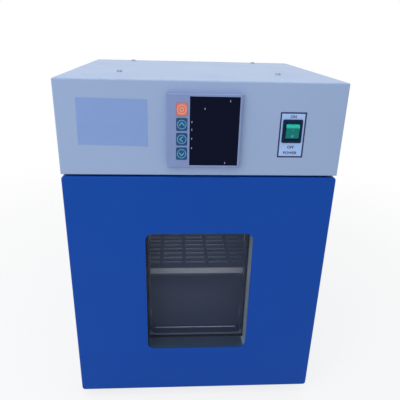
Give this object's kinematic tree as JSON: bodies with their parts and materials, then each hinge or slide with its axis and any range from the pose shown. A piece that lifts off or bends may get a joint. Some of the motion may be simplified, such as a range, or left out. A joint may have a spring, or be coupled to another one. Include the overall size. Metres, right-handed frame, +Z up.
{
  "type": "laboratory incubator",
  "caption": "Bench-top laboratory incubator with a hinged front door, a window in it, a slotted shelf, a fan behind a duct panel, a temperature controller with keys, and a rocker switch.",
  "frame": {"origin": "middle of the bounding box's underside, on the bench top under the feet", "axes": "+X to the right as the door is faced, +Y to the back, +Z up"},
  "size_m": [0.38, 0.3666, 0.5244],
  "materials": {
    "case_enamel": "satin",
    "door_enamel": "satin",
    "stainless_steel": "satin",
    "shelf_steel": "satin",
    "galvanised_steel": "satin",
    "screw_steel": "polished",
    "black_rubber": "matte",
    "mineral_wool": "matte",
    "bare_aluminium": "satin",
    "motor_enamel": "satin",
    "black_plastic": "matte",
    "heater_steel": "matte",
    "controller_plastic": "satin",
    "display_plastic": "gloss",
    "board_green": "satin",
    "key_orange": "satin",
    "key_teal": "satin",
    "switch_navy": "gloss",
    "rocker_green": "gloss",
    "terminal_brass": "satin",
    "hinge_brass": "satin",
    "terminal_white": "satin",
    "clear_glass": "gloss"
  },
  "bodies": {
    "cabinet": {"side_panel_left": "case_enamel", "side_panel_right": "case_enamel", "front_fascia": "case_enamel", "top_cover": "case_enamel", "rear_panel": "case_enamel", "motor_cover": "case_enamel", "base_pan": "galvanised_steel", "deck_plate": "galvanised_steel", "cover_rails": "galvanised_steel", "motor_strap": "galvanised_steel", "hinge_plate_upper": "galvanised_steel", "hinge_bracket_lower": "galvanised_steel", "face_frame": "stainless_steel", "chamber_liner": "stainless_steel", "liner_back": "stainless_steel", "duct_panel": "stainless_steel", "rack_uprights": "stainless_steel", "shelf_rail_left": "stainless_steel", "shelf_rail_right": "stainless_steel", "top_screws": "screw_steel", "rear_screws": "screw_steel", "base_screws": "screw_steel", "hinge_pins": "screw_steel", "sensor_probe": "screw_steel", "feet": "black_rubber", "heater_bushes": "black_rubber", "chamber_insulation": "mineral_wool", "fan_motor": "motor_enamel", "shaft_bush": "black_plastic", "heater_element": "heater_steel", "controller_bezel": "controller_plastic", "controller_display": "display_plastic", "controller_case": "black_plastic", "controller_board": "board_green", "controller_clamps": "black_plastic", "switch_housing": "switch_navy", "switch_terminals": "terminal_brass", "heater_relay": "black_plastic", "terminal_block": "terminal_white", "mains_gland": "black_plastic"},
    "door": {"door_skin": "door_enamel", "window_frame": "stainless_steel", "window_seal": "black_rubber", "window_glass": "clear_glass", "window_retainer": "stainless_steel", "door_inner_panel": "stainless_steel", "inner_glass": "clear_glass", "glass_clips": "screw_steel", "door_insulation": "mineral_wool", "door_gasket": "black_rubber", "door_screws": "screw_steel", "hinge_bushes": "hinge_brass"},
    "shelf": {"shelf": "shelf_steel"},
    "fan": {"fan_impeller": "bare_aluminium", "fan_shaft": "screw_steel"},
    "rocker": {"switch_rocker": "rocker_green"},
    "set_button": {"key_set": "key_orange"},
    "up_button": {"key_up": "key_teal"},
    "shift_button": {"key_shift": "key_teal"},
    "down_button": {"key_down": "key_teal"}
  },
  "joints": [
    {"name": "door_hinge", "type": "hinge", "parent": "cabinet", "child": "door", "pos_m": [0.178, -0.153, 0.205], "axis": [0, 0, 1], "range_deg": [0, 115]},
    {"name": "shelf_slide", "type": "slide", "parent": "cabinet", "child": "shelf", "axis": [0, -1, 0], "range_m": [0, 0.01]},
    {"name": "fan_spin", "type": "hinge", "parent": "cabinet", "child": "fan", "pos_m": [0, 0.12, 0.205], "axis": [0, 1, 0], "continuous": true},
    {"name": "rocker_tilt", "type": "hinge", "parent": "cabinet", "child": "rocker", "pos_m": [0.1196, -0.171, 0.4585], "axis": [-1, 0, 0], "range_deg": [0, 20]},
    {"name": "set_press", "type": "slide", "parent": "cabinet", "child": "set_button", "axis": [0, 1, 0], "range_m": [0, 0.0008], "stiffness_N_per_m": 800},
    {"name": "up_press", "type": "slide", "parent": "cabinet", "child": "up_button", "axis": [0, 1, 0], "range_m": [0, 0.0008], "stiffness_N_per_m": 800},
    {"name": "shift_press", "type": "slide", "parent": "cabinet", "child": "shift_button", "axis": [0, 1, 0], "range_m": [0, 0.0008], "stiffness_N_per_m": 800},
    {"name": "down_press", "type": "slide", "parent": "cabinet", "child": "down_button", "axis": [0, 1, 0], "range_m": [0, 0.0008], "stiffness_N_per_m": 800}
  ]
}
